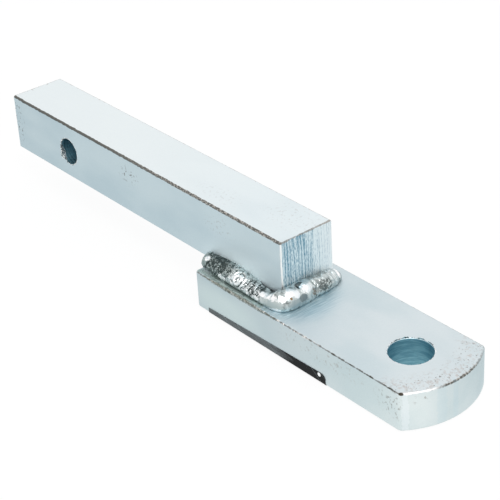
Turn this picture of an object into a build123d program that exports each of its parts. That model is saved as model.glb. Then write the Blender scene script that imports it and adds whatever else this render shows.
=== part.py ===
"""Drawbar: a solid square shank lap welded on top of a round-nosed flat tongue.

Frame: origin at the centre of the hitch-pin hole, +X along the shank towards the ball end,
+Y along the pin hole, +Z up.  Every size is in millimetres.
"""

import math
import os

from build123d import *

# Driving sizes of the square shank
SHANK_SIDE = 30.0  # across the flats
SHANK_LENGTH = 214.5
SHANK_EDGE_RADIUS = 1.2  # the four rolled long edges
SHANK_END_CHAMFER = 0.4  # filed edge of the two saw-cut ends
PIN_HOLE_DIAMETER = 14.0
PIN_HOLE_FROM_END = 49.0  # insertion end to hole centre
PIN_HOLE_CHAMFER = 0.4

# Driving sizes of the flat tongue
TONGUE_WIDTH = 50.0
TONGUE_THICKNESS = 19.0
TONGUE_LENGTH = 143.2
TONGUE_LAP = 49.0  # length of the tongue that lies under the shank
TONGUE_SIDE_SHIFT = -1.5  # the tongue sits off centre, towards -Y
TONGUE_TOP_RADIUS = 0.8  # edges round the top face
TONGUE_BOTTOM_RADIUS = 1.2  # edges round the underside, where the shear rolled them over
INNER_CORNER_RADIUS = 2.0  # upright corners of the inner end, seen from above
NOSE_CORNER_RADIUS = 3.0  # where the nose meets the sides
TIP_RADIUS = 39.0  # round nose
BALL_HOLE_DIAMETER = 19.8
BALL_HOLE_FROM_TIP = 27.7
BALL_HOLE_CHAMFER = 0.4

# Driving sizes of the weld bead: the toes of each run, measured from the root line
NEAR_RUN_OUT = 7.4  # along the tongue, on the labelled side
NEAR_RUN_UP = 4.8  # up the shank
END_RUN_OUT = 8.1  # across the shank's end face
END_RUN_UP = 6.6
FAR_RUN_OUT = 6.0
FAR_RUN_UP = 5.0
REAR_RUN_OUT = 5.4  # under the shank, across the tongue's inner end
REAR_RUN_UP = 5.4
BEAD_ROUNDNESS = 7.2  # radius of the bead's skin between its toes
KNOB_RADIUS = 5.6  # rounded ends of the side runs
KNOB_OVERHANG = 1.2  # how far the middle of such an end lies past the tongue's inner end
RIPPLE_PITCH = 4.2  # from one weld puddle to the next
RIPPLE_HEIGHT = 0.5  # crest of a puddle over the valley
RIPPLE_RISE = 0.3  # share of the pitch in which a puddle reaches its crest
DOME_STEPS = 4  # cones that round off the end of a run

# Driving sizes of the plain label
LABEL_LENGTH = 80.0
LABEL_THICKNESS = 0.25
LABEL_FROM_INNER_END = 9.0  # tongue's inner end to the label
LABEL_LOW_HEIGHT = 2.9  # height on the side face at the end nearest the weld
LABEL_HIGH_HEIGHT = 5.3  # height on the side face at the end nearest the ball hole
LABEL_CORNER_RADIUS = 2.5
LABEL_UNDER_WIDTH = 24.0  # the part that lies on the tongue's underside

# How far a cutting profile runs past what it cuts, and how close two sizes count as equal
CUT_MARGIN = 1.0
SAME_SIZE = 1e-6

# Derived positions
half_shank = SHANK_SIDE / 2
shank_start_x = -PIN_HOLE_FROM_END
shank_end_x = shank_start_x + SHANK_LENGTH
tongue_top_z = -half_shank
tongue_bottom_z = tongue_top_z - TONGUE_THICKNESS
tongue_inner_x = shank_end_x - TONGUE_LAP
tongue_tip_x = tongue_inner_x + TONGUE_LENGTH
tongue_near_y = TONGUE_SIDE_SHIFT - TONGUE_WIDTH / 2
ball_hole_x = tongue_tip_x - BALL_HOLE_FROM_TIP


def bead_axis(out, up):
    """Return how far a bead's axis lies out from its root line and over it, for its two toes."""
    chord = math.hypot(out, up)
    drop = math.sqrt(BEAD_ROUNDNESS**2 - (chord / 2) ** 2)
    return out / 2 - drop * up / chord, up / 2 - drop * out / chord


def dome(radius):
    """Return the outline points of a domed end, from its tip to its rim, along and out."""
    angles = [math.pi / 2 * step / DOME_STEPS for step in range(DOME_STEPS)]
    return [(-radius * math.cos(angle), radius * math.sin(angle)) for angle in angles]


def rippled_rod(start, direction, length, first_radius, last_radius, domed=True):
    """Return a rod whose skin steps up and tapers off once per weld puddle."""
    count = max(2, round(length / RIPPLE_PITCH))
    step = length / count
    growth = (last_radius - first_radius) / count
    outline = dome(first_radius) if domed else [(0, 0)]
    outline.append((0, first_radius))
    for index in range(count):
        valley = first_radius + growth * (index + 1)
        outline.append(((index + RIPPLE_RISE) * step, valley + RIPPLE_HEIGHT))
        outline.append(((index + 1) * step, valley))
    if domed:
        outline += [(length - along, out) for along, out in reversed(dome(last_radius))]
    else:
        outline.append((length, 0))
    with BuildPart(mode=Mode.PRIVATE) as rod:
        with BuildSketch(Plane(origin=start, x_dir=direction, z_dir=(0, 0, 1))):
            with BuildLine():
                Polyline(*outline, close=True)
            make_face()
        revolve(axis=Axis(start, direction))
    return rod.part


def rims(part, diameter):
    """Return the circular edges of a hole of that diameter."""
    circles = part.edges().filter_by(GeomType.CIRCLE)
    return circles.filter_by(lambda edge: abs(edge.radius - diameter / 2) < SAME_SIZE)


# Square shank
with BuildPart() as shank:
    with BuildSketch(Plane.YZ.offset(shank_start_x)):
        RectangleRounded(SHANK_SIDE, SHANK_SIDE, SHANK_EDGE_RADIUS)
    extrude(amount=SHANK_LENGTH)
    chamfer(faces().sort_by(Axis.X)[0].edges(), length=SHANK_END_CHAMFER)
    chamfer(faces().sort_by(Axis.X)[-1].edges(), length=SHANK_END_CHAMFER)
    with BuildSketch(Plane.XZ.offset(-half_shank)):
        Circle(PIN_HOLE_DIAMETER / 2)
    extrude(amount=SHANK_SIDE, mode=Mode.SUBTRACT)
    chamfer(rims(shank.part, PIN_HOLE_DIAMETER), length=PIN_HOLE_CHAMFER)

# Flat tongue: straight sides, a large round nose, rolled long edges
half_width = TONGUE_WIDTH / 2
nose_start_x = tongue_tip_x - TIP_RADIUS + math.sqrt(TIP_RADIUS**2 - half_width**2)
with BuildPart() as tongue:
    with BuildSketch(Plane.XY.offset(tongue_bottom_z)):
        with BuildLine():
            Polyline(
                (nose_start_x, TONGUE_SIDE_SHIFT + half_width),
                (tongue_inner_x, TONGUE_SIDE_SHIFT + half_width),
                (tongue_inner_x, TONGUE_SIDE_SHIFT - half_width),
                (nose_start_x, TONGUE_SIDE_SHIFT - half_width),
            )
            ThreePointArc(
                (nose_start_x, TONGUE_SIDE_SHIFT - half_width),
                (tongue_tip_x, TONGUE_SIDE_SHIFT),
                (nose_start_x, TONGUE_SIDE_SHIFT + half_width),
            )
        make_face()
        fillet(vertices().sort_by(Axis.X)[:2], radius=INNER_CORNER_RADIUS)
        nose_corners = vertices().filter_by(lambda corner: abs(corner.X - nose_start_x) < SAME_SIZE)
        fillet(nose_corners, radius=NOSE_CORNER_RADIUS)
    extrude(amount=TONGUE_THICKNESS)
    fillet(faces().sort_by(Axis.Z)[0].edges(), radius=TONGUE_BOTTOM_RADIUS)
    fillet(faces().sort_by(Axis.Z)[-1].edges(), radius=TONGUE_TOP_RADIUS)
    with BuildSketch(Plane.XY.offset(tongue_bottom_z)):
        with Locations((ball_hole_x, TONGUE_SIDE_SHIFT)):
            Circle(BALL_HOLE_DIAMETER / 2)
    extrude(amount=TONGUE_THICKNESS, mode=Mode.SUBTRACT)
    chamfer(rims(tongue.part, BALL_HOLE_DIAMETER), length=BALL_HOLE_CHAMFER)

# Weld bead: one rippled run along each root line, rounded off at the four corners.
# The shank and the tongue are cut out of it, so that it seats on both face to face.
near_out, near_up = bead_axis(NEAR_RUN_OUT, NEAR_RUN_UP)
end_out, end_up = bead_axis(END_RUN_OUT, END_RUN_UP)
far_out, far_up = bead_axis(FAR_RUN_OUT, FAR_RUN_UP)
rear_out, rear_up = bead_axis(REAR_RUN_OUT, REAR_RUN_UP)
side_start_x = tongue_inner_x - KNOB_OVERHANG
end_x = shank_end_x + end_out
near_start = Vector(side_start_x, -half_shank - near_out, tongue_top_z + near_up)
far_start = Vector(side_start_x, half_shank + far_out, tongue_top_z + far_up)
end_start = Vector(end_x, near_start.Y, tongue_top_z + end_up)
end_finish = Vector(end_x, far_start.Y, tongue_top_z + end_up)
rear_start = Vector(tongue_inner_x - rear_out, -half_shank, tongue_top_z - rear_up)
side_length = end_x - side_start_x
end_length = end_finish.Y - end_start.Y
with BuildPart() as weld_bead:
    add(rippled_rod(near_start, (1, 0, 0), side_length, KNOB_RADIUS, BEAD_ROUNDNESS))
    add(rippled_rod(far_start, (1, 0, 0), side_length, KNOB_RADIUS, BEAD_ROUNDNESS))
    add(rippled_rod(end_start, (0, 1, 0), end_length, BEAD_ROUNDNESS, BEAD_ROUNDNESS))
    add(rippled_rod(rear_start, (0, 1, 0), SHANK_SIDE, BEAD_ROUNDNESS, BEAD_ROUNDNESS, domed=False))
    add(shank.part, mode=Mode.SUBTRACT)
    add(tongue.part, mode=Mode.SUBTRACT)
    # No weld runs down the tongue's sides
    beside_y = half_width + SHANK_SIDE / 2
    with Locations(
        (tongue_inner_x, TONGUE_SIDE_SHIFT - beside_y, tongue_top_z),
        (tongue_inner_x, TONGUE_SIDE_SHIFT + beside_y, tongue_top_z),
    ):
        Box(2 * TONGUE_LENGTH, SHANK_SIDE, TONGUE_THICKNESS,
            align=(Align.CENTER, Align.CENTER, Align.MAX), mode=Mode.SUBTRACT)

# Plain label, wrapped from the underside round the lower near edge of the tongue
label_start_x = tongue_inner_x + LABEL_FROM_INNER_END
label_end_x = label_start_x + LABEL_LENGTH
tongue_middle_z = (tongue_top_z + tongue_bottom_z) / 2
below_label_z = tongue_bottom_z - CUT_MARGIN
with BuildPart() as blank_label:
    with BuildSketch(Plane.YZ.offset(label_start_x)):
        with Locations((TONGUE_SIDE_SHIFT, tongue_middle_z)):
            RectangleRounded(TONGUE_WIDTH + 2 * LABEL_THICKNESS, TONGUE_THICKNESS + 2 * LABEL_THICKNESS,
                             TONGUE_BOTTOM_RADIUS + LABEL_THICKNESS)
    extrude(amount=LABEL_LENGTH)
    with BuildSketch(Plane.XZ.offset(-tongue_near_y - LABEL_UNDER_WIDTH)):
        with BuildLine():
            Polyline(
                (label_start_x, below_label_z),
                (label_end_x, below_label_z),
                (label_end_x, tongue_bottom_z + LABEL_HIGH_HEIGHT),
                (label_start_x, tongue_bottom_z + LABEL_LOW_HEIGHT),
                close=True,
            )
        make_face()
        fillet(vertices().sort_by(Axis.Y)[-1], radius=LABEL_CORNER_RADIUS)
    extrude(amount=LABEL_UNDER_WIDTH + CUT_MARGIN, mode=Mode.INTERSECT)
    add(tongue.part, mode=Mode.SUBTRACT)

shank.part.label = "shank"
tongue.part.label = "tongue"
weld_bead.part.label = "weld_bead"
blank_label.part.label = "blank_label"

os.makedirs("parts", exist_ok=True)
export_step(shank.part, "parts/shank.step")
export_step(tongue.part, "parts/tongue.step")
export_step(weld_bead.part, "parts/weld_bead.step")
export_step(blank_label.part, "parts/blank_label.step")
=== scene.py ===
"""Looks of a welded drawbar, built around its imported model.

The shank, the tongue and the label keep their solids and get finishes.  The weld bead is a
rippled mesh that takes the place of its plain solid, and burrs are added at the holes' rims.
Lengths are in millimetres until a mesh is placed, and the frame's own values are in metres.
"""

from __future__ import annotations

import logging
import math
from dataclasses import dataclass, field
from enum import Enum

import bmesh
import bpy
from mathutils import Matrix, Vector, noise

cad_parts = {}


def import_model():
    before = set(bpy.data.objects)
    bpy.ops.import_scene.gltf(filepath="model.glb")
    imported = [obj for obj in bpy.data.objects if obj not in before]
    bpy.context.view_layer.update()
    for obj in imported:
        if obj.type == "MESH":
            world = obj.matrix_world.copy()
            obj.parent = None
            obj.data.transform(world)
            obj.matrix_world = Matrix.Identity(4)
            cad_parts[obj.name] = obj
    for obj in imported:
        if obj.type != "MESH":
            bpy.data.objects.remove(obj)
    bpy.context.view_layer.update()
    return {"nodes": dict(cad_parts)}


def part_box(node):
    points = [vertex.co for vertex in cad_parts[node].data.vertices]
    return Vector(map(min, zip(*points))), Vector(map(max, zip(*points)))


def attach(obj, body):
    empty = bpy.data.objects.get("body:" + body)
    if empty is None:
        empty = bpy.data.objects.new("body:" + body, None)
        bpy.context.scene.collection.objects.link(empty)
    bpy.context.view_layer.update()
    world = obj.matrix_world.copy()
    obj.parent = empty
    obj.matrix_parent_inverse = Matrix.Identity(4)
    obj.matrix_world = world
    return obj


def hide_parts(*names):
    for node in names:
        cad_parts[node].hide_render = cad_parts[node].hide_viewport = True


LOG = logging.getLogger("drawbar")
METRES = 0.001
HUGE = 1e6  # a reach that leaves its axis out of a distance
CREST = "crest"  # the weld's attribute: 0 in valleys, 1 on crests

Socket = bpy.types.NodeSocket
Triple = tuple[float, float, float]  # one value for each axis
Span = tuple[float, float]  # where a change starts and ends


def linear(hex_colour: str) -> tuple[float, float, float, float]:
    """Turn an sRGB hex colour into linear RGBA.

    Args:
        hex_colour: six hex digits, such as "bccdd2".

    Returns:
        The linear red, green and blue, with an alpha of 1.
    """
    channels = [int(hex_colour[i : i + 2], 16) / 255 for i in (0, 2, 4)]
    values = [c / 12.92 if c <= 0.04045 else ((c + 0.055) / 1.055) ** 2.4 for c in channels]
    return (*values, 1.0)


@dataclass(frozen=True)
class Kind:
    """A kind of shader node: its type, its settings and its sockets."""

    type_name: str  # without its leading ShaderNode
    settings: dict[str, str] = field(default_factory=dict)
    inputs: tuple[int, ...] = (0, 1, 2, 3, 4)  # in the order in which values are given
    output: int | str | None = 0  # the one that is handed on


ADD, SUBTRACT, MULTIPLY, MULTIPLY_ADD, MINIMUM, MAXIMUM, ABSOLUTE = (
    Kind("Math", {"operation": name})
    for name in ("ADD", "SUBTRACT", "MULTIPLY", "MULTIPLY_ADD", "MINIMUM", "MAXIMUM", "ABSOLUTE")
)
MOVE = Kind("VectorMath", {"operation": "SUBTRACT"})
STRETCH = Kind("VectorMath", {"operation": "MULTIPLY"})
SHRINK = Kind("VectorMath", {"operation": "DIVIDE"})
LENGTH = Kind("VectorMath", {"operation": "LENGTH"}, output="Value")
SPLIT = Kind("SeparateXYZ")
JOIN = Kind("CombineXYZ")
BLEND = Kind("Mix", {"data_type": "RGBA"}, inputs=(0, 6, 7), output=2)
EASE = Kind("MapRange", {"interpolation_type": "SMOOTHSTEP"})
OBJECT_PLACE = Kind("TexCoord", output="Object")
VIEW_DIRECTION = Kind("TexCoord", output="Generated")
WORLD_PLACE = Kind("NewGeometry", output="Position")
CAMERA_RAY = Kind("LightPath", output="Is Camera Ray")
GLOSSY_RAY = Kind("LightPath", output="Is Glossy Ray")
NOISE = Kind("TexNoise")
STRIPES = Kind("TexNoise", {"noise_dimensions": "1D"})
CREST_VALUE = Kind("Attribute", {"attribute_name": CREST}, output="Fac")
BUMP = Kind("Bump")
PRINCIPLED = Kind("BsdfPrincipled")
DIFFUSE = Kind("BsdfDiffuse")
EMISSION = Kind("Emission")
BACKGROUND = Kind("Background")
MIX_SHADERS = Kind("MixShader")
SURFACE_OUT = Kind("OutputMaterial", output=None)
WORLD_OUT = Kind("OutputWorld", output=None)


def add_node(tree: bpy.types.NodeTree, kind: Kind, *values, **named) -> Socket | None:
    """Add a node to a tree, with its settings and its links.

    Args:
        tree: the material's or the world's node tree.
        kind: what the node is.
        *values: numbers, vectors, hex colours or sockets for its inputs, in the kind's order.
        **named: the same for inputs by name.

    Returns:
        The output that the kind hands on, if any.
    """
    node = tree.nodes.new("ShaderNode" + kind.type_name)
    for name, value in kind.settings.items():
        setattr(node, name, value)
    for key, value in (*zip(kind.inputs, values), *named.items()):
        if isinstance(value, Socket):
            tree.links.new(value, node.inputs[key])
        else:
            node.inputs[key].default_value = linear(value) if isinstance(value, str) else value
    return None if kind.output is None else node.outputs[kind.output]


class Edge(Enum):
    """The families of edges of a bar that lies along X."""

    LONG = ("y", "z")
    UPRIGHT = ("x", "y")
    ACROSS = ("x", "z")


@dataclass(frozen=True)
class Box:
    """A node's box in millimetres."""

    low: Vector
    high: Vector

    @classmethod
    def of_node(cls, node: str) -> "Box":
        """Read the box of a CAD node.

        Args:
            node: the node's name.

        Returns:
            Its box, in millimetres.
        """
        low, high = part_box(node)
        return cls(low / METRES, high / METRES)

    @property
    def centre(self) -> Vector:
        """Middle of the box."""
        return (self.low + self.high) / 2

    @property
    def half(self) -> Vector:
        """Half of the box's size along each axis."""
        return (self.high - self.low) / 2


@dataclass(frozen=True)
class Patch:
    """An egg-shaped place whose colour differs from the rest, for marks and for painted light and
    shade alike.
    """

    place: Triple
    reach: Triple
    colour: str
    fleck: str = ""
    strength: float = 1.0


WHITE, PALE, DIM, BLACK = "ffffff", "d9e1e1", "7d8889", "20282a"
WELD_MARKS_AND_PAINTED_LIGHT = (
    Patch((125.4, -19.9, -10.4), (13.5, 6.5, 6.5), "414b4a", "a3aeac"),
    # painted highlight on the knob at the bead's start
    Patch((118.5, -20, -10.3), (1.5, 1.5, 1.3), WHITE),
    Patch((142.4, -17.9, -9.6), (12, 2.6, 2), "545e5d", "c9d1d0"),
    # painted highlight low on the near run
    Patch((132, -22.4, -13.6), (3.2, 1.7, 1.4), WHITE, PALE),
    Patch((142.9, -21.5, -11.4), (6.2, 3.3, 3), "5f6969", "f4f8f8"),
    Patch((153.4, -20.9, -11), (5.6, 4.6, 4.2), "3c4545", "dde3e3"),
    # painted highlights: a white streak along the lower toe
    Patch((149, -22.4, -13.6), (3.4, 1, 1), WHITE, PALE),
    Patch((155.5, -22.7, -13.8), (3, 0.9, 0.9), WHITE, PALE),
    Patch((167.4, -22.4, -12), (8.5, 2.6, 2.4), "bdc7c6"),
    # painted highlights: the bright band round the near corner
    Patch((159.4, -20.7, -11), (4.2, 1.9, 1.8), WHITE),
    Patch((165, -20.3, -10.6), (4.5, 2, 1.9), WHITE),
    Patch((169.4, -19.1, -9.9), (2.6, 1.6, 1.6), "f4f8f8"),
    # painted highlight along the lower toe at the corner
    Patch((170.5, -22.6, -14.2), (6, 1.5, 0.9), WHITE),
    Patch((174.8, -13.1, -12), (2.6, 7, 2.2), "aab5b7"),
    # painted highlights on two lobes past the corner
    Patch((170.3, -14.9, -8.4), (2.4, 2.6, 2), WHITE),
    Patch((171.6, -12.6, -9.3), (2.4, 2, 1.9), "f6fafc"),
    Patch((172.3, -15.9, -9.9), (0.7, 0.7, 0.7), "8f7658"),
    # painted shade in a fold between two puddles
    Patch((169.4, -9.6, -8.3), (1.2, 0.7, 2), "343c3e"),
    Patch((168, -7.6, -7.5), (1.2, 2.2, 0.7), "5a6364"),
    # painted highlight on a bright blob
    Patch((170.9, -6.2, -9.3), (2.6, 3.4, 2.2), "f4f8f9"),
    Patch((173.4, -9.7, -11.4), (1.8, 2.4, 1.6), "7f8b8e"),
    Patch((172.6, -3, -11.2), (2.4, 1.1, 2.2), "8b7d70", "a4afb0"),
    Patch((171.2, 0.6, -10.6), (3.4, 3.4, 3.2), "979f9e", "e6ecec"),
    Patch((171.4, 4.4, -11.6), (3.2, 4.4, 2.8), "6c7473", "cdd5d4"),
    Patch((166.8, 2.6, -8.4), (2.2, 10, 1.6), "868c8a", "b4bebf"),
    Patch((169.6, 11.6, -10.4), (4.5, 3.4, 4.5), "b9c3c4", "e0e6e6"),
    # painted highlight ring at the far end of the end run
    Patch((168.4, 14.6, -10.8), (3.2, 1.1, 3.2), WHITE, PALE),
    # painted shade: a black line in the undercut along the upper toe
    Patch((155, -15.4, -11.7), (6.5, 1.1, 1.3), BLACK, "", 0.8),
    Patch((162, -15.6, -11.6), (4.5, 1.5, 1.7), BLACK),
    Patch((166, -15.6, -9.4), (1.9, 1.9, 2.2), BLACK),
)
SHANK_PATCHES = (Patch((-6.2, -14.6, -2.8), (2.2, 1.4, 4.6), WHITE, DIM),)
# painted light: a brighter patch on the shank's near face just above the weld
SHANK_PAINTED_SHEEN = Patch((136, -15, -11), (32, 2, 12), "f2fbfd", "", 0.85)
# painted light: brighter patches on the tongue's near face and at its nose
TONGUE_PAINTED_SHEENS = (
    Patch((136, -26.5, -26), (38, 2, 13), "f0f8f5", "", 0.55),
    Patch((254.5, -18, -25), (9, 12, 16), WHITE, "", 0.15),
)
TONGUE_SMUDGES_AND_HIGHLIGHT = (
    Patch((246, -26.5, -22), (11, 2.5, 10), "77706a", "", 0.55),
    Patch((257, -20, -18.5), (5, 7, 4), "8a817a", "", 0.6),
    Patch((205, -26.5, -20), (40, 2, 6), "a59c94", "", 0.4),
    Patch((143, -25.9, -15.3), (27, 2.4, 1.8), "4f4e45", "", 0.95),
    # painted highlight: pale flecks along the top of the near edge
    Patch((178, -26.2, -15.2), (34, 1.6, 1.4), "faf5f0", "", 1),
)
SHANK_SMUDGES = (
    Patch((52, -15, 5.5), (11, 2, 7), "7c756f", "", 0.8),
    Patch((122, -15, 5.5), (16, 2, 9), "a39b95", "", 0.3),
    Patch((152, 4, 15), (26, 14, 2), "a3958d", "", 0.22),
    Patch((112, -6, 15), (22, 9, 2), "a99f99", "", 0.18),
    Patch((-46.5, -15, 1), (7, 2, 17), "6f6862", "", 0.9),
    Patch((-49, 0, 15), (3, 18, 2), "8a7d72", "", 0.7),
)
TONGUE_MARKS_AND_PAINTED_LIGHT = (
    Patch((138, -24.4, -15), (27, 2.1, 1.5), "a9bdaf", DIM, 0.6),
    Patch((143, -23.5, -15), (19, 0.8, 1), "5d6a65", "", 0.6),
    Patch((148, -26.3, -15.3), (26, 1, 1), "6f6f64", "c3c1b6", 0.65),
    Patch((251.3, -26, -15.2), (1.6, 1.1, 0.9), "4a443c"),
    # painted highlight beside the nose's near upright corner
    Patch((252.2, -24.6, -25.5), (1.6, 1.6, 12), "f4f8ff", "", 0.25),
    # painted reflection: faint blue bands on the nose's end face
    Patch((259, -10, -25), (3, 2.6, 14), "b9d3e0", "", 0.15),
    Patch((260, -3, -25), (3, 1.6, 14), "b9d3e0", "", 0.15),
)


class MaterialSketch:
    """A material under construction: its colour so far, and its position in millimetres."""

    outline_wander: float = 1.1  # how far a patch's outline strays, in reaches
    outline: Span = (1.1, 0.8)  # a patch starts and is full here, in reaches
    halo_rim: Span = (1.0, 0.2)
    fleck_size: float = 1.5
    fleck_cut: Span = (0.56, 0.66)

    def __init__(self, name: str) -> None:
        """Start an empty material.

        Args:
            name: the material's name.
        """
        self.material = bpy.data.materials.new(name)
        self.material.use_nodes = True
        self.material.node_tree.nodes.clear()
        self.place = self.add(STRETCH, self.add(OBJECT_PLACE), Vector((1, 1, 1)) / METRES)
        split = self.add(SPLIT, self.place).node.outputs
        self.axis = {"x": split[0], "y": split[1], "z": split[2]}
        self.colour = WHITE

    def add(self, kind: Kind, *values, **named) -> Socket | None:
        """Add a node to this material; see add_node."""
        return add_node(self.material.node_tree, kind, *values, **named)

    def grain(self, size: float, stretch: Triple = (1, 1, 1), detail: float = 2.0) -> Socket:
        """Make a noise with grains of a size.

        Args:
            size: a grain's size in millimetres.
            stretch: how many times longer the grains are along each axis.
            detail: octaves of finer grain.

        Returns:
            The noise's socket, about 0.5 on average.
        """
        place = self.add(STRETCH, self.place, Vector([1 / (size * s) for s in stretch]))
        return self.add(NOISE, Vector=place, Scale=1.0, Detail=detail)

    def distance(self, place: Triple | Vector, reach: Triple) -> Socket:
        """Measure how far a point lies from a place, in reaches along each axis.

        Args:
            place: the place in millimetres.
            reach: the length that counts as 1 along each axis; a huge one leaves an axis out.

        Returns:
            The distance's socket.
        """
        offset = self.add(MOVE, self.place, Vector(place))
        return self.add(LENGTH, self.add(SHRINK, offset, Vector(reach)))

    def halo(self, patch: Patch) -> Socket:
        """Mark a patch with no outline, fading from its middle to its rim.

        Args:
            patch: the place and its strength.

        Returns:
            The strength at the middle, 0 at the rim.
        """
        away = self.distance(patch.place, patch.reach)
        return self.add(EASE, away, *self.halo_rim, 0.0, patch.strength)

    def lay(self, tone: Socket | str, *masks: Socket | float) -> None:
        """Lay a tone over the colour so far.

        Args:
            tone: a hex colour or a socket.
            *masks: numbers or sockets whose product is the tone's share.
        """
        share = masks[0]
        for mask in masks[1:]:
            share = self.add(MULTIPLY, share, mask)
        self.colour = self.add(BLEND, share, self.colour, tone)

    def paint(self, patches: tuple[Patch, ...], ragged: Socket, flecks: Socket | float) -> None:
        """Lay patches over the colour, one after the other.

        Args:
            patches: what to lay on.
            ragged: a noise that makes the patches' outlines uneven.
            flecks: 1 where a patch shows its second colour.
        """
        wander = self.add(MULTIPLY_ADD, ragged, self.outline_wander, -self.outline_wander / 2)
        for patch in patches:
            away = self.add(ADD, self.distance(patch.place, patch.reach), wander)
            mask = self.add(EASE, away, *self.outline, 0.0, patch.strength)
            tone = patch.colour
            if patch.fleck:
                tone = self.add(BLEND, flecks, patch.colour, patch.fleck)
            self.lay(tone, mask)

    def speckle(self, patches: tuple[Patch, ...]) -> None:
        """Scatter small flecks over the colour, thinning out towards each patch's rim.

        Args:
            patches: where the flecks lie and their colour.
        """
        flecks = self.add(EASE, self.grain(self.fleck_size, detail=4.0), *self.fleck_cut)
        for patch in patches:
            self.lay(patch.colour, flecks, self.halo(patch))

    def finish(self, relief: Socket, depth: float, **surface) -> bpy.types.Material:
        """Close the material with its surface shader.

        Args:
            relief: a height's socket.
            depth: how deep a relief of 1 is, in millimetres.
            **surface: other inputs of the Principled shader.

        Returns:
            The finished material.
        """
        normal = self.add(BUMP, Height=relief, Distance=depth * METRES)
        self.add(SURFACE_OUT, self.add(PRINCIPLED, self.colour, Normal=normal, **surface))
        return self.material


@dataclass(frozen=True)
class Bore:
    """A drilled hole's wall under blue-green chromate, which shows as turned rings.

    The real rings are too fine to show in the render, so these are as coarse as they need to be.
    """

    centre: Triple
    section: Triple  # the distance's reach, huge along the hole's axis
    radius: float
    ring: float
    stretch: Triple
    detail: float
    cut: Span
    pale: str
    deep: str
    skin: Span = (0.12, 0.04)  # the finish ends this far outside the wall

    def cover(self, sketch: MaterialSketch) -> None:
        """Lay the wall's finish over a material's colour.

        Args:
            sketch: the material being made.
        """
        radial = sketch.distance(self.centre, self.section)
        wall = sketch.add(EASE, radial, *(self.radius + gap for gap in self.skin))
        rings = sketch.add(EASE, sketch.grain(self.ring, self.stretch, self.detail), *self.cut)
        sketch.lay(sketch.add(BLEND, rings, self.deep, self.pale), wall)


@dataclass(frozen=True)
class BarFinish:
    """Bright zinc plating on a rolled bar.

    To the eye it is satin and faintly blue, clouded over a few centimetres and finely gritty,
    and it is worn through to brown steel on its edges, which also carry a painted white highlight.
    """

    name: str
    plating: str
    plating_pale: str
    cloud_stretch: Triple
    wander_size: float  # grain that makes the worn edges uneven
    relief: float  # depth of the grit
    worn_steel: str = "56534c"
    edge_highlight: str = WHITE
    roughness: float = 0.5
    roughness_spread: Span = (-0.04, 0.06)
    cloud_size: float = 20.0
    grit_size: float = 0.7  # coarser than life, to show
    edge_width: float = 1.15


SHANK_FINISH = BarFinish(
    name="zinc_plated_square_bar", plating="d4e1e7", plating_pale="e1ebef",
    cloud_stretch=(2.5, 1, 1), wander_size=1.6, relief=0.05,
)
TONGUE_FINISH = BarFinish(
    name="zinc_plated_flat_bar", plating="cfdbdf", plating_pale="dae2e5",
    cloud_stretch=(2, 1, 1), wander_size=1.4, relief=0.03,
)


class Bar(MaterialSketch):
    """The material of a plated bar, with how deep a point lies under the bar's faces."""

    top_skin: Span = (0.9, 0.3)  # depths over which the top face's finish fades in
    edge_wander: float = 1.6  # how far a worn edge's width strays, in widths
    edge_core: float = 0.45  # share of a worn edge's width that is fully worn

    def __init__(self, node: str, look: BarFinish) -> None:
        """Read the bar's box and start its material.

        Args:
            node: the CAD node's name.
            look: how the bar looks.
        """
        super().__init__(look.name)
        self.look = look
        self.box = Box.of_node(node)
        self.speck = self.grain(look.grit_size, detail=3.0)
        self.wander = self.grain(look.wander_size, detail=3.0)
        self.depth = self.depths()

    def depths(self) -> dict[str, Socket]:
        """Work out how deep a point lies under the faces across each axis.

        Returns:
            Depth in millimetres for "x", "y" and "z".
        """
        result = {}
        for index, axis in enumerate("xyz"):
            away = self.add(ABSOLUTE, self.add(SUBTRACT, self.axis[axis], self.box.centre[index]))
            result[axis] = self.add(SUBTRACT, self.box.half[index], away)
        return result

    def plate(self) -> None:
        """Start the colour with the plating, clouded with its paler tone."""
        look = self.look
        pale = self.add(EASE, self.grain(look.cloud_size, look.cloud_stretch), 0.3, 0.7)
        self.colour = self.add(BLEND, pale, look.plating, look.plating_pale)

    def top_mask(self) -> Socket:
        """Mark the top face.

        Returns:
            1 on the face, 0 below it.
        """
        limits = (self.box.high.z - depth for depth in self.top_skin)
        return self.add(EASE, self.axis["z"], *limits)

    def edge_mask(self, edge: Edge, share: float) -> Socket:
        """Mark one family of edges.

        Args:
            edge: which edges.
            share: the mark's width, as a share of the finish's edge width.

        Returns:
            1 on the edge, 0 away from it.
        """
        width = self.look.edge_width * share
        spread = width * self.edge_wander
        away = self.add(MAXIMUM, *(self.depth[axis] for axis in edge.value))
        uneven = self.add(MULTIPLY_ADD, self.wander, spread, -spread / 2)
        return self.add(EASE, self.add(ADD, away, uneven), width, width * self.edge_core)

    def roughness(self) -> Socket:
        """Vary the roughness a little from grit to grit.

        Returns:
            The roughness.
        """
        limits = (self.look.roughness + spread for spread in self.look.roughness_spread)
        return self.add(EASE, self.speck, 0.3, 0.7, *limits)


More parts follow.
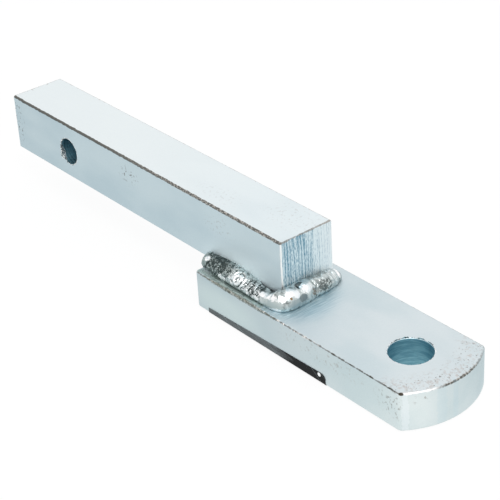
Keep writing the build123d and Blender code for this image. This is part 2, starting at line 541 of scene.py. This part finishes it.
class Shank(Bar):
    """The material of the square bar that slides into the receiver."""

    pin_radius: float = 7.0
    end_skin: Span = (0.5, 0.3)
    top_reach: Span = (40.0, 165.0)  # the top face's painted light thins out along it
    top_share: Span = (0.9, 0.45)
    glint_rise: Span = (20.0, 110.0)
    far_side: Span = (-2.0, 14.0)
    streak_size: float = 0.38
    streak_stretch: Triple = (1, 1, 60)
    hatch_size: float = 0.42
    hatch_stretch: Triple = (1, 1, 4)
    saw_dark: str = "7ba6ba"
    saw_pale: str = "f0fafd"
    saw_bright: str = "fbfdfe"
    top_painted_light: str = "ecf1f2"
    near_glints: str = "d6cfc8"
    far_edge: str = "a08f86"
    cross_edge: str = "84786c"
    sheen_dulling: float = 0.35  # the plating under the painted sheen above the weld is this much rougher

    def dress(self) -> bpy.types.Material:
        """Give the shank its finish.

        Returns:
            The shank's material.
        """
        self.plate()
        # Painted light: the top face is paler, less so towards the weld
        fading = self.add(EASE, self.axis["x"], *self.top_reach, *self.top_share)
        self.lay(self.top_painted_light, self.top_mask(), fading)
        self.speckle(SHANK_SMUDGES)
        # Painted light: a brighter patch just above the weld, where the plating is also duller; it has
        # no outline
        painted_sheen = self.halo(SHANK_PAINTED_SHEEN)
        self.lay(SHANK_PAINTED_SHEEN.colour, painted_sheen)
        end_face = self.add(EASE, self.depth["x"], *self.end_skin)
        cuts = self.saw_cuts()
        self.lay(self.sawn(cuts), end_face)
        self.wear_near_edge()
        self.wear_other_edges()
        Bore(
            centre=(0, 0, 0), section=(1, HUGE, 1), radius=self.pin_radius, ring=0.9,
            stretch=(30, 1, 30), detail=2.0, cut=(0.35, 0.65), pale="98c0cb", deep="6f9aa8",
        ).cover(self)
        self.paint(SHANK_PATCHES, self.wander, self.add(EASE, self.speck, 0.5, 0.56))
        scored = self.add(MULTIPLY, cuts, end_face)
        relief = self.add(MULTIPLY_ADD, scored, 1.6, self.add(MULTIPLY, self.speck, 0.3))
        rough = self.add(MULTIPLY_ADD, painted_sheen, self.sheen_dulling, self.roughness())
        return self.finish(relief, self.look.relief, Metallic=1.0, Roughness=rough)

    def saw_cuts(self) -> Socket:
        """Make the saw's upright streaks, broken up by shorter marks.

        Returns:
            The cuts' height.
        """
        streak = self.grain(self.streak_size, self.streak_stretch)
        hatch = self.grain(self.hatch_size, self.hatch_stretch)
        return self.add(MULTIPLY_ADD, hatch, 0.45, self.add(MULTIPLY, streak, 0.75))

    def sawn(self, cuts: Socket) -> Socket:
        """Colour the sawn end faces, which are paler towards the far side.

        Args:
            cuts: the cuts' height.

        Returns:
            The end faces' colour.
        """
        far_share = self.add(EASE, self.axis["y"], *self.far_side)
        marks = self.add(EASE, self.add(MULTIPLY_ADD, far_share, 0.06, cuts), 0.5, 0.66)
        colour = self.add(BLEND, marks, self.saw_dark, self.saw_pale)
        return self.add(BLEND, self.add(MULTIPLY, far_share, 0.62), colour, self.saw_bright)

    def long_edge(self, side: float, core: float) -> Socket:
        """Mark an upper long edge, unevenly.

        Args:
            side: the edge's y.
            core: share of the mark's width that is fully worn.

        Returns:
            1 on the edge, 0 away from it.
        """
        width = self.look.edge_width
        away = self.distance((0, side, self.box.high.z), (HUGE, 1, 1))
        away = self.add(ADD, away, self.add(SUBTRACT, self.wander, 0.5))
        return self.add(EASE, away, width, width * core)

    def wear_near_edge(self) -> None:
        """Wear the upper near edge to dark steel, with painted glints that grow towards the weld."""
        # Painted highlights: pale glints on the worn steel
        glints = self.add(EASE, self.speck, 0.5, 0.58, 0.0, 0.75)
        glints = self.add(MULTIPLY, glints, self.add(EASE, self.axis["x"], *self.glint_rise))
        steel = self.add(BLEND, glints, self.look.worn_steel, self.near_glints)
        self.lay(steel, self.long_edge(self.box.low.y, 0.75), 0.92)

    def wear_other_edges(self) -> None:
        """Wear the far edge in spots and the cross edges to brown, and paint a white highlight on the
        uprights.
        """
        spots = self.add(EASE, self.speck, 0.45, 0.6, 0.15, 0.8)
        self.lay(self.far_edge, self.long_edge(self.box.high.y, 0.6), spots)
        self.lay(self.cross_edge, self.edge_mask(Edge.ACROSS, 0.6), 0.7)
        # Painted highlight: white on the upright edges
        below = self.add(EASE, self.depth["z"], 0.4, 1.2)
        self.lay(self.look.edge_highlight, self.edge_mask(Edge.UPRIGHT, 0.7), below)


class Tongue(Bar):
    """The material of the flat bar that carries the ball."""

    tip_radius: float = 39.0
    ball_radius: float = 9.9
    ball_from_tip: float = 27.7
    brushed_along: float = 48.0  # from the inner end
    brushed_aside: float = -7.0  # from the middle
    brushed_reach: Triple = (26.0, 26.0, 2.0)
    brushed_dark: str = "8db4c3"
    brushed_pale: str = "c4dae2"
    brush_size: float = 0.6
    bloom_size: float = 1.6
    pit_size: float = 0.9
    spot_size: float = 5.0
    nose_band: Span = (15.0, 4.0)  # how far the pits reach in from the nose
    nose_start: Span = (30.0, 18.0)  # how far they reach back from the tip
    worn_height: Span = (3.0, 1.5)  # how far the worn edges reach down
    near_corner: Span = (-8.0, -15.0)
    far_corner: Span = (22.0, 4.0)
    stain: str = "6f675f"
    rust: str = "b9a59a"
    nose_glints: str = "a39a90"

    @property
    def ball_centre(self) -> Vector:
        """Middle of the ball hole's upper rim."""
        return Vector((self.box.high.x - self.ball_from_tip, self.box.centre.y, self.box.high.z))

    def depths(self) -> dict[str, Socket]:
        """Work out the depths under the faces, with the round nose for the far end.

        Returns:
            Depth in millimetres for "x", "y" and "z".
        """
        result = super().depths()
        along = self.add(SUBTRACT, self.axis["x"], self.box.high.x - self.tip_radius)
        aside = self.add(SUBTRACT, self.axis["y"], self.box.centre.y)
        radius = self.add(LENGTH, self.add(JOIN, self.add(MAXIMUM, along, 0.0), aside))
        nose = self.add(SUBTRACT, self.tip_radius, radius)
        inner = self.add(SUBTRACT, self.axis["x"], self.box.low.x)
        result["x"] = self.add(MINIMUM, nose, inner)
        return result

    def dress(self) -> bpy.types.Material:
        """Give the tongue its finish.

        Returns:
            The tongue's material.
        """
        self.plate()
        # Painted light: brighter patches on the near face and at the nose
        for painted_sheen in TONGUE_PAINTED_SHEENS:
            self.lay(painted_sheen.colour, self.halo(painted_sheen))
        self.brush()
        # Pits and a faint pink bloom on the top face along the nose
        nose = self.nose_mask()
        bloom = self.add(EASE, self.grain(self.bloom_size, detail=3.0), 0.48, 0.68, 0.0, 0.4)
        self.lay(self.rust, nose, bloom)
        pits = self.add(EASE, self.grain(self.pit_size, detail=1.0), 0.66, 0.73)
        pitted = self.add(MULTIPLY, pits, nose)
        self.lay(self.stain, pitted, 0.8)
        self.wear_edges()
        Bore(
            centre=self.ball_centre, section=(1, 1, HUGE), radius=self.ball_radius, ring=0.7,
            stretch=(9, 9, 1), detail=4.0, cut=(0.36, 0.64), pale="8fbecb", deep="72a3b4",
        ).cover(self)
        self.paint(TONGUE_MARKS_AND_PAINTED_LIGHT, self.wander, self.add(EASE, self.speck, 0.5, 0.6))
        self.speckle(TONGUE_SMUDGES_AND_HIGHLIGHT)
        relief = self.add(MULTIPLY_ADD, pitted, -1.5, self.add(MULTIPLY, self.speck, 0.6))
        return self.finish(relief, self.look.relief, Metallic=1.0, Roughness=self.roughness())

    def brush(self) -> None:
        """Brush the top face beside the weld, where the plating is bluer."""
        low, middle, high = self.box.low, self.box.centre, self.box.high
        place = (low.x + self.brushed_along, middle.y + self.brushed_aside, high.z)
        near_weld = self.add(EASE, self.distance(place, self.brushed_reach), 1.0, 0.45)
        marks = self.add(EASE, self.grain(self.brush_size, (1, 14, 1), detail=3.0), 0.4, 0.62)
        self.lay(self.add(BLEND, marks, self.brushed_dark, self.brushed_pale), near_weld, 0.75)

    def nose_mask(self) -> Socket:
        """Mark the top face along the nose.

        Returns:
            1 along the nose, 0 elsewhere.
        """
        tip = self.box.high.x
        by_nose = self.add(EASE, self.depth["x"], *self.nose_band)
        far_end = self.add(EASE, self.axis["x"], *(tip - back for back in self.nose_start))
        return self.add(MULTIPLY, self.add(MULTIPLY, by_nose, far_end), self.top_mask())

    def wear_edges(self) -> None:
        """Wear the edges round the top face, least at the nose's far corner, with painted highlights
        on the ends' top edges.
        """
        look, top = self.look, self.box.high.z
        upper = self.add(EASE, self.axis["z"], *(top - down for down in self.worn_height))
        spots = self.add(EASE, self.grain(self.spot_size), 0.42, 0.6, 0.7, 1.0)
        self.lay(look.worn_steel, self.edge_mask(Edge.LONG, 0.55), upper, spots)
        # Painted highlights on the ends' top edges: paler glints on the worn steel, and white on the
        # near half
        glints = self.add(EASE, self.wander, 0.5, 0.56)
        metal = self.add(BLEND, glints, look.worn_steel, self.nose_glints)
        near_half = self.add(EASE, self.axis["y"], *self.near_corner)
        metal = self.add(BLEND, near_half, metal, look.edge_highlight)
        fading = self.add(EASE, self.axis["y"], *self.far_corner, 0.2, 1.0)
        self.lay(metal, self.edge_mask(Edge.ACROSS, 0.8), upper, fading, 0.9)


@dataclass(frozen=True)
class WeldFinish:
    """Plated weld metal, as it froze: painted highlights on the ripple crests over painted shade in
    the granular valleys.
    """

    # painted highlight on the ripple crests, and painted shade in the valleys
    crest: str = "c6cfcf"
    valley_shade: str = "4f5857"
    fleck_size: float = 0.55
    mottle_size: float = 1.5
    ragged_size: float = 1.3
    smooth_place: Triple = (168.0, -17.0, -12.0)
    smooth_reach: Triple = (11.0, 13.0, 6.0)
    roughness: float = 0.3
    relief: float = 0.16

    def build(self) -> bpy.types.Material:
        """Make the material.

        Returns:
            The weld's material.
        """
        sketch = MaterialSketch("plated_weld_metal")
        mottle = sketch.grain(self.mottle_size, detail=4.0)
        fine = sketch.grain(self.fleck_size, detail=3.0)
        crest = sketch.add(CREST_VALUE)
        # Painted light and shade: the ripple crests pale and the valleys dark, clouded by a mottle
        tone = sketch.add(EASE, sketch.add(MULTIPLY_ADD, crest, 0.8, mottle), 0.62, 1.05)
        sketch.colour = sketch.add(BLEND, tone, self.valley_shade, self.crest)
        # A patch's flecks are its finest grains, more of them on a crest
        flecks = sketch.add(EASE, sketch.add(MULTIPLY_ADD, fine, 1.4, crest), 1.33, 1.47)
        sketch.paint(WELD_MARKS_AND_PAINTED_LIGHT, sketch.grain(self.ragged_size, detail=3.0), flecks)
        # The bead is smoothest round its near corner
        corner = sketch.distance(self.smooth_place, self.smooth_reach)
        uneven = sketch.add(EASE, corner, 1.0, 0.6, 1.0, 0.15)
        relief = sketch.add(MULTIPLY, sketch.add(MULTIPLY_ADD, fine, 0.5, mottle), uneven)
        return sketch.finish(relief, self.relief, Metallic=1.0, Roughness=self.roughness)


@dataclass(frozen=True)
class BurrFinish:
    """Torn steel under its plating: a hard white glint between dull flecks."""

    metal: str = WHITE
    metal_dull: str = "6b645c"
    fleck_size: float = 0.8
    roughness: float = 0.2
    relief: float = 0.05

    def build(self) -> bpy.types.Material:
        """Make the material.

        Returns:
            The burr's material.
        """
        sketch = MaterialSketch("plated_burr_steel")
        torn = sketch.grain(self.fleck_size, detail=3.0)
        bright = sketch.add(EASE, torn, 0.42, 0.5)
        sketch.colour = sketch.add(BLEND, bright, self.metal_dull, self.metal)
        return sketch.finish(torn, self.relief, Metallic=1.0, Roughness=self.roughness)


@dataclass(frozen=True)
class LabelFinish:
    """Black vinyl film: a soft gloss, greyer near the weld, with a few slanting scratches."""

    film: str = "0c0d0e"
    film_grey: str = "5c6163"
    scratch: str = "8d9799"
    # a small white spot at the film's rounded corner
    white_spot: Patch = Patch((201.8, -26.7, -29.8), (1, 1, 1), "f2f4f4")
    scuff_size: float = 3.0
    towards_weld: Span = (197.0, 165.0)
    scratch_pitch: float = 1.25
    scratch_lean: float = 1.5  # how far a scratch leans along x per millimetre of height
    roughness: float = 0.5
    ior: float = 1.25
    grain_size: float = 0.5  # coarser than life, to show
    relief: float = 0.01

    def build(self) -> bpy.types.Material:
        """Make the material.

        Returns:
            The label's material.
        """
        sketch = MaterialSketch("black_vinyl_film")
        scuff = sketch.grain(self.scuff_size, (4, 1, 1), detail=3.0)
        from_weld = sketch.add(EASE, sketch.axis["x"], *self.towards_weld, -0.3, 0.3)
        grey = sketch.add(EASE, sketch.add(ADD, scuff, from_weld), 0.4, 0.8)
        sketch.colour = sketch.add(BLEND, grey, self.film, self.film_grey)
        slanted = sketch.add(MULTIPLY_ADD, sketch.axis["z"], self.scratch_lean, sketch.axis["x"])
        stripes = sketch.add(STRIPES, W=slanted, Scale=1 / self.scratch_pitch)
        sketch.lay(self.scratch, sketch.add(EASE, stripes, 0.7, 0.76, 0.0, 0.7))
        sketch.paint((self.white_spot,), scuff, 0.0)
        grain = sketch.grain(self.grain_size)
        return sketch.finish(grain, self.relief, Roughness=self.roughness, IOR=self.ior)


def close_up(mesh: bmesh.types.BMesh, merge: float) -> None:
    """Join a grid that was bent round onto itself, with its faces outwards.

    Args:
        mesh: the grid, in metres.
        merge: the distance between vertices that are one, in metres.
    """
    bmesh.ops.remove_doubles(mesh, verts=mesh.verts, dist=merge)
    bmesh.ops.recalc_face_normals(mesh, faces=mesh.faces)


def place_piece(mesh: bmesh.types.BMesh, name: str, replaced: str = "") -> bpy.types.Object:
    """Turn a finished bmesh into a piece that rides on the part.

    Args:
        mesh: the piece's mesh in metres; it is freed.
        name: the piece's name.
        replaced: the CAD node that it stands in for, if any.

    Returns:
        The new object.
    """
    data = bpy.data.meshes.new(name)
    mesh.to_mesh(data)
    mesh.free()
    piece = bpy.data.objects.new(name, data)
    bpy.context.scene.collection.objects.link(piece)
    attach(piece, "root")
    if replaced:
        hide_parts(replaced)
    return piece


@dataclass(frozen=True)
class Leg:
    """The weld's size at one place of a run."""

    at: float  # from the run's start
    out: float  # from the root line to the toe on the tongue
    up: float  # from the root line to the toe on the shank
    ripple: float  # height of the puddles' crests
    grain: float  # height of the fine lumps

    def mixed(self, other: Leg, share: float) -> Leg:
        """Blend with another leg; a share of 1 is the other one."""
        pairs = zip(vars(self).values(), vars(other).values())
        return Leg(*(mine + (theirs - mine) * share for mine, theirs in pairs))


@dataclass(frozen=True)
class Lump:
    """A round swelling of the weld, or a hollow where its height is below zero."""

    place: Triple
    reach: float
    height: float


NEAR_RUN = (
    Leg(0, 5.8, 4.4, 0.15, 0.55),
    Leg(5, 6.7, 5, 0.2, 0.6),
    Leg(11, 7.4, 5.6, 0.3, 0.5),
    Leg(18, 7.5, 5.8, 0.5, 0.35),
    Leg(25, 7.5, 4.9, 0.55, 0.3),
    Leg(33, 7.5, 4, 0.5, 0.35),
    Leg(38, 7.6, 3.2, 0.4, 0.25),
    Leg(43, 7.8, 3, 0.2, 0.1),
    Leg(47, 7.8, 4.8, 0.12, 0.08),
    Leg(49, 7.8, 6.8, 0.1, 0.08),
)
END_RUN = (
    Leg(0, 8.1, 7.2, 0.15, 0.1),
    Leg(8, 7.9, 7.1, 0.3, 0.15),
    Leg(15, 7.1, 6.7, 0.35, 0.35),
    Leg(20, 6.9, 6.1, 0.3, 0.4),
    Leg(26, 6, 5.3, 0.25, 0.3),
    Leg(30, 4.4, 4.2, 0.15, 0.25),
)
FAR_RUN = (
    Leg(0, 1.6, 1.6, 0.1, 0.1),
    Leg(9, 1.6, 1.6, 0.1, 0.1),
    Leg(16, 5.8, 5, 0.45, 0.2),
    Leg(25, 6, 5, 0.5, 0.3),
    Leg(49, 5.8, 4.6, 0.35, 0.35),
)
REAR_RUN = (Leg(0, 5.4, 5.4, 0.4, 0.25), Leg(30, 5.4, 5.4, 0.4, 0.3))
FULL_LEG = 5.0  # a leg this long swells in full, a shorter one in proportion
WELD_LUMPS = (
    Lump((115.8, -18.6, -13), 4.2, 1.3),
    Lump((142, -19.7, -11.9), 5, 0.4),
    Lump((168.7, -15.4, -9.4), 2.8, 0.6),
    Lump((170.6, -12.6, -10.8), 2.6, 0.45),
    Lump((168.4, -9.2, -8.8), 1.5, -0.9),
    Lump((169.9, -5.2, -10.2), 4, 0.8),
    Lump((172.2, -1.2, -12), 1.6, -0.5),
    Lump((169, 11.2, -10.6), 3.6, 0.4),
    Lump((162, -16.3, -11.2), 2.6, -0.5),
)
SWIRL = Lump((142, -20.2, -12.2), 6.2, 0.3)
SWIRL_PITCH = 1.9


@dataclass(frozen=True)
class Station:
    """One cross-section of the weld."""

    root: Vector
    out: Vector
    up: Vector
    leg: Leg


@dataclass(frozen=True)
class Run:
    """One straight stretch of the weld's root line."""

    start: Vector
    end: Vector
    out: Vector
    up: Vector
    legs: tuple[Leg, ...]

    def leg_at(self, distance: float) -> Leg:
        """Find the weld's size at a distance from the run's start.

        Args:
            distance: how far along it, in millimetres.

        Returns:
            The leg there.
        """
        for first, second in zip(self.legs, self.legs[1:]):
            if distance <= second.at:
                share = max(0.0, (distance - first.at) / (second.at - first.at))
                return first.mixed(second, share * share * (3 - 2 * share))
        return self.legs[-1]


@dataclass(frozen=True)
class WeldBead:
    """The rippled fillet weld all round the lap, as one closed mesh.

    The bead runs along the near side, across the shank's end, back along the far side and
    under the shank across the tongue's inner end.
    """

    swell: float = 1.2
    flatness: float = 1.15  # 1 is a quarter of an ellipse, and 2 a straight chamfer
    fullness: float = 0.6
    ripple_pitch: float = 3.1
    crescent: float = 2.2  # how far a ripple's ends trail behind its middle
    wobble: float = 1.1  # how far the ripples stray
    wobble_length: float = 9.0
    grain_size: float = 1.1
    fine_grain_size: float = 0.5
    hump: float = 0.35
    hump_length: float = 4.0
    sink: float = 0.35  # how deep the hidden root lies in the bars
    toe_inset: float = 0.3
    step: float = 0.22
    corner_share: float = 0.7
    section_points: int = 44
    visible_share: float = 0.75
    seed: float = 4.0
    merge: float = 1e-6  # metres between vertices that are one

    @staticmethod
    def runs() -> list[Run]:
        """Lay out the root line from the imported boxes.

        Returns:
            The four runs in order, in millimetres.
        """
        shank, tongue = Box.of_node("shank"), Box.of_node("tongue")
        x0, x1 = tongue.low.x, shank.high.x
        y0, y1 = shank.low.y, shank.high.y
        corners = ((x0, y0), (x1, y0), (x1, y1), (x0, y1))
        near_rear, near_end, far_end, far_rear = (Vector((*xy, tongue.high.z)) for xy in corners)
        rise = Vector((0, 0, 1))
        return [
            Run(near_rear, near_end, Vector((0, -1, 0)), rise, NEAR_RUN),
            Run(near_end, far_end, Vector((1, 0, 0)), rise, END_RUN),
            Run(far_end, far_rear, Vector((0, 1, 0)), rise, FAR_RUN),
            Run(far_rear, near_rear, -rise, Vector((-1, 0, 0)), REAR_RUN),
        ]

    def stations(self) -> list[Station]:
        """Walk round the lap's root line.

        Returns:
            The weld's cross-sections in order, in millimetres.
        """
        runs = self.runs()
        result = []
        for run, following in zip(runs, runs[1:] + runs[:1]):
            length = (run.end - run.start).length
            count = round(length / self.step)
            for i in range(count):
                place = run.start.lerp(run.end, i / count)
                result.append(Station(place, run.out, run.up, run.leg_at(length * i / count)))
            last, first = run.legs[-1], following.legs[0]
            corner_steps = round(math.pi / 2 * last.out * self.corner_share / self.step)
            for i in range(corner_steps):
                share = i / corner_steps
                up = run.up if run.up == following.up else run.up.slerp(following.up, share)
                out = run.out.slerp(following.out, share)
                result.append(Station(run.end, out, up, last.mixed(first, share)))
        return result

    def build(self) -> bpy.types.Object:
        """Make the bead's mesh.

        Returns:
            The bead, riding on the part.
        """
        stations = self.stations()
        rows, columns = len(stations), self.section_points
        mesh = bmesh.new()
        crest = mesh.verts.layers.float.new(CREST)
        bmesh.ops.create_grid(mesh, x_segments=rows, y_segments=columns, size=0.5)
        for vertex in mesh.verts:
            row = round((vertex.co.x + 0.5) * rows) % rows
            column = round((vertex.co.y + 0.5) * columns) % columns
            turn = column / columns
            if turn > self.visible_share:
                point, height = self.root_point(stations[row], turn), 0.5
            else:
                point, height = self.skin_point(stations[row], row * self.step, turn)
            vertex.co = point * METRES
            vertex[crest] = height
        close_up(mesh, self.merge)
        for face in mesh.faces:
            face.smooth = True
        return place_piece(mesh, "weld_bead_rippled", replaced="weld_bead")

    def root_point(self, station: Station, turn: float) -> Vector:
        """Find a point of the hidden return through the root, sunk into the bars.

        Args:
            station: the cross-section.
            turn: how far round the closed section, from the visible share to 1.

        Returns:
            The point in millimetres.
        """
        leg, sink = station.leg, self.sink
        share = (turn - self.visible_share) / (1 - self.visible_share)
        if share < 0.5:
            out, up = -sink, (leg.up - self.toe_inset) * (1 - share * 2) - sink * share * 2
        else:
            out, up = (leg.out - self.toe_inset) * (share * 2 - 1) - sink * (2 - share * 2), -sink
        return station.root + station.out * out + station.up * up

    def skin_point(self, station: Station, along: float, turn: float) -> tuple[Vector, float]:
        """Find a point of the bead's skin.

        Args:
            station: the cross-section.
            along: how far round the lap it lies, in millimetres.
            turn: how far round the closed section, from 0 to the visible share.

        Returns:
            The point in millimetres, and how much it belongs to a crest, from 0 to 1.
        """
        leg = station.leg
        share = turn / self.visible_share
        angle = share * math.pi / 2
        side = share * 2 - 1
        wobble = self.wobble * noise.noise(Vector((along / self.wobble_length, 0.0, self.seed)))
        phase = (along + self.crescent * side * side + wobble) / self.ripple_pitch
        scallop = math.sqrt(max(0.0, 1 - (2 * (phase - math.floor(phase)) - 1) ** 2))
        out, up = leg.out * math.cos(angle) ** self.flatness, leg.up * math.sin(angle) ** self.flatness
        place = station.root + station.out * out + station.up * up
        grainy = noise.noise(place / self.grain_size) + 0.6 * noise.noise(place / self.fine_grain_size)
        humps = noise.noise(Vector((along / self.hump_length, share * 2, self.seed + 7)))
        relief = leg.ripple * scallop + leg.grain * grainy + self.hump * humps
        for lump in WELD_LUMPS:
            apart = (place - Vector(lump.place)).length / lump.reach
            relief += lump.height * math.exp(-2 * apart * apart)
        apart = (place - Vector(SWIRL.place)).length
        fade = math.exp(-2 * (apart / SWIRL.reach) ** 4)
        relief += SWIRL.height * fade * math.cos(math.tau * apart / SWIRL_PITCH)
        body = math.sin(share * math.pi) ** self.fullness
        bulge = (self.swell * min(1.0, leg.out / FULL_LEG) + relief) * body
        skin = place + station.out * bulge * math.cos(angle) + station.up * bulge * math.sin(angle)
        return skin, min(1.0, max(0.0, 0.45 + relief * 0.6))


@dataclass(frozen=True)
class Burr:
    """A ragged lip of metal that the drill left round a hole's rim."""

    name: str
    slot: str
    centre: Vector
    axis: Vector
    radius: float
    width: float
    height: float
    seed: float
    side: Vector  # the burr is tallest towards this side
    sink: float = 0.15
    steps: int = 240
    corners: int = 4
    merge: float = 1e-7

    def build(self) -> bpy.types.Object:
        """Make the lip's mesh: a ring whose section has four corners, all round the rim.

        Returns:
            The lip, riding on the part.
        """
        mesh = bmesh.new()
        bmesh.ops.create_grid(mesh, x_segments=self.steps, y_segments=self.corners, size=0.5)
        across = self.axis.orthogonal().normalized()
        beside = self.axis.cross(across)
        for vertex in mesh.verts:
            row = round((vertex.co.x + 0.5) * self.steps) % self.steps
            corner = round((vertex.co.y + 0.5) * self.corners) % self.corners
            angle = math.tau * row / self.steps
            spoke = across * math.cos(angle) + beside * math.sin(angle)
            coarse = noise.noise(spoke * 4.0 + Vector((self.seed, 0, 0)))
            ragged = coarse + 0.6 * noise.noise(spoke * 13.0 + Vector((0, self.seed, 0)))
            lean = max(0.0, 0.25 + spoke.dot(self.side))
            tall = self.height * lean * max(0.0, 0.4 + 1.5 * ragged) - self.sink * 0.5
            # Inner foot, inner crest, outer crest, outer foot
            lift = (-self.sink, tall, min(tall, 0.3 * tall), -self.sink)[corner]
            reach = self.radius + (self.width * (0.6 + abs(ragged)) if corner > 1 else 0.0)
            vertex.co = (self.centre + spoke * reach + self.axis * lift) * METRES
        close_up(mesh, self.merge)
        return place_piece(mesh, self.name)


@dataclass(frozen=True)
class Studio:
    """A pale floor, an even sky and one soft lamp over the camera's side."""

    floor_width: float = 8.0
    floor_gap: float = 0.0003
    floor_colour: str = "fafafa"
    floor_reflected: str = "dce5e7"
    floor_bright: str = "fffef8"
    bright_strength: float = 1.3
    bright_place: Triple = (0.285, -0.075, 0.0)
    bright_reach: float = 0.17
    floor_white_share: float = 0.93
    lamp_size: float = 0.5
    lamp_power: float = 5.0
    lamp_place: Triple = (0.75, -0.35, 1.15)
    lamp_target: Triple = (0.15, 0.0, 0.0)
    sky_low: str = "e4eef2"
    sky_rise: float = 0.4

    def build(self) -> None:
        """Make the floor, the sky and the lamp."""
        self.make_floor()
        self.make_sky()
        self.make_lamp()

    def make_floor(self) -> None:
        """Lay the floor just under the part."""
        low = min(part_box(node)[0].z for node in ("tongue", "blank_label"))
        mesh = bmesh.new()
        bmesh.ops.create_grid(mesh, x_segments=1, y_segments=1, size=self.floor_width / 2)
        bmesh.ops.translate(mesh, verts=mesh.verts, vec=Vector((0, 0, low - self.floor_gap)))
        data = bpy.data.meshes.new("floor")
        mesh.to_mesh(data)
        mesh.free()
        floor = bpy.data.objects.new("floor", data)
        bpy.context.scene.collection.objects.link(floor)
        data.materials.append(self.floor_material())

    def floor_material(self) -> bpy.types.Material:
        """Make the floor's paper: white to the camera, and in the metal a little darker.

        It has a bright place before the nose, which the tongue's end mirrors.

        Returns:
            The floor's material.
        """
        material = bpy.data.materials.new("pale_floor")
        material.use_nodes = True
        tree = material.node_tree
        tree.nodes.clear()
        share = add_node(tree, MULTIPLY, add_node(tree, CAMERA_RAY), self.floor_white_share)
        matt = add_node(tree, DIFFUSE, self.floor_colour)
        white = add_node(tree, EMISSION, WHITE)
        seen = add_node(tree, MIX_SHADERS, share, matt, white)
        offset = add_node(tree, MOVE, add_node(tree, WORLD_PLACE), Vector(self.bright_place))
        lit = add_node(tree, EASE, add_node(tree, LENGTH, offset), self.bright_reach, 0.0)
        shade = add_node(tree, BLEND, lit, self.floor_reflected, self.floor_bright)
        glow = add_node(tree, MULTIPLY_ADD, lit, self.bright_strength - 1, 1.0)
        mirrored = add_node(tree, EMISSION, shade, glow)
        mixed = add_node(tree, MIX_SHADERS, add_node(tree, GLOSSY_RAY), seen, mirrored)
        add_node(tree, SURFACE_OUT, mixed)
        return material

    def make_sky(self) -> None:
        """Light the part evenly from all round, brighter from above."""
        world = bpy.data.worlds.new("sky")
        world.use_nodes = True
        tree = world.node_tree
        tree.nodes.clear()
        upwards = add_node(tree, SPLIT, add_node(tree, VIEW_DIRECTION)).node.outputs[2]
        height = add_node(tree, EASE, upwards, 0.0, self.sky_rise)
        colour = add_node(tree, BLEND, height, self.sky_low, WHITE)
        light = add_node(tree, BACKGROUND, colour)
        white = add_node(tree, BACKGROUND, WHITE)
        mixed = add_node(tree, MIX_SHADERS, add_node(tree, CAMERA_RAY), light, white)
        add_node(tree, WORLD_OUT, mixed)
        bpy.context.scene.world = world

    def make_lamp(self) -> None:
        """Hang the soft lamp, facing the part."""
        data = bpy.data.lights.new("softbox", "AREA")
        data.size = self.lamp_size
        data.energy = self.lamp_power
        lamp = bpy.data.objects.new("softbox", data)
        lamp.location = self.lamp_place
        facing = Vector(self.lamp_target) - lamp.location
        lamp.rotation_euler = facing.to_track_quat("-Z", "Y").to_euler()
        bpy.context.scene.collection.objects.link(lamp)


@dataclass(frozen=True)
class CameraPlace:
    """The camera, fitted to the photograph's straight edges and holes."""

    place: Triple = (638.5, -400.0, 372.8)
    azimuth: float = 52.10
    elevation: float = 30.56
    roll: float = -3.48
    lens: float = 117.6
    sensor: float = 36.0

    def build(self) -> None:
        """Make the camera and select it for the scene."""
        azimuth, elevation = math.radians(self.azimuth), math.radians(self.elevation)
        level = math.cos(elevation)
        back = Vector((math.sin(azimuth) * level, -math.cos(azimuth) * level, math.sin(elevation)))
        right = Vector((0, 0, 1)).cross(back).normalized()
        up = back.cross(right)
        turn = Matrix.Rotation(math.radians(self.roll), 3, "Z")
        facing = Matrix((right, up, back)).transposed() @ turn
        data = bpy.data.cameras.new("camera")
        data.lens = self.lens
        data.sensor_width = self.sensor
        camera = bpy.data.objects.new("camera", data)
        camera.matrix_world = Matrix.Translation(Vector(self.place) * METRES) @ facing.to_4x4()
        bpy.context.scene.collection.objects.link(camera)
        bpy.context.scene.camera = camera


def put_on(piece: bpy.types.Object, material: bpy.types.Material) -> None:
    """Make a material the piece's only one.

    Args:
        piece: the object to dress.
        material: its finish.
    """
    if not piece.material_slots:
        piece.data.materials.append(material)
    for slot in piece.material_slots:
        slot.material = material


def make_burrs(shank: Shank, tongue: Tongue) -> list[Burr]:
    """Plan the lips of torn metal at the rims that show them.

    Args:
        shank: the bar with the pin hole.
        tongue: the bar with the ball hole.

    Returns:
        The lip at the ball hole and the one at the pin hole.
    """
    ball = Burr(
        name="ball_hole_burr", slot="tongue_steel", centre=tongue.ball_centre, axis=Vector((0, 0, 1)),
        radius=tongue.ball_radius + 0.2, width=0.5, height=0.6, seed=2.0, side=Vector((-0.6, 0.8, 0)),
    )
    pin = Burr(
        name="pin_hole_burr", slot="shank_steel", centre=Vector((0, shank.box.low.y, 0)),
        axis=Vector((0, -1, 0)), radius=shank.pin_radius - 0.1, width=0.7, height=0.8, seed=9.0,
        side=Vector((-0.7, 0, -0.7)),
    )
    return [ball, pin]


def main() -> None:
    """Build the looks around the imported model."""
    logging.basicConfig(level=logging.INFO)
    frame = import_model()
    bpy.context.scene.view_settings.view_transform = "Standard"
    nodes = frame["nodes"]
    shank, tongue = Shank("shank", SHANK_FINISH), Tongue("tongue", TONGUE_FINISH)
    put_on(nodes["shank"], shank.dress())
    put_on(nodes["tongue"], tongue.dress())
    put_on(nodes["blank_label"], LabelFinish().build())
    LOG.info("bars and label dressed")
    bead = WeldBead().build()
    put_on(bead, WeldFinish().build())
    LOG.info("weld bead: %d faces", len(bead.data.polygons))
    for burr in make_burrs(shank, tongue):
        put_on(burr.build(), BurrFinish().build())
    Studio().build()
    CameraPlace().build()


if __name__ == "__main__":
    main()
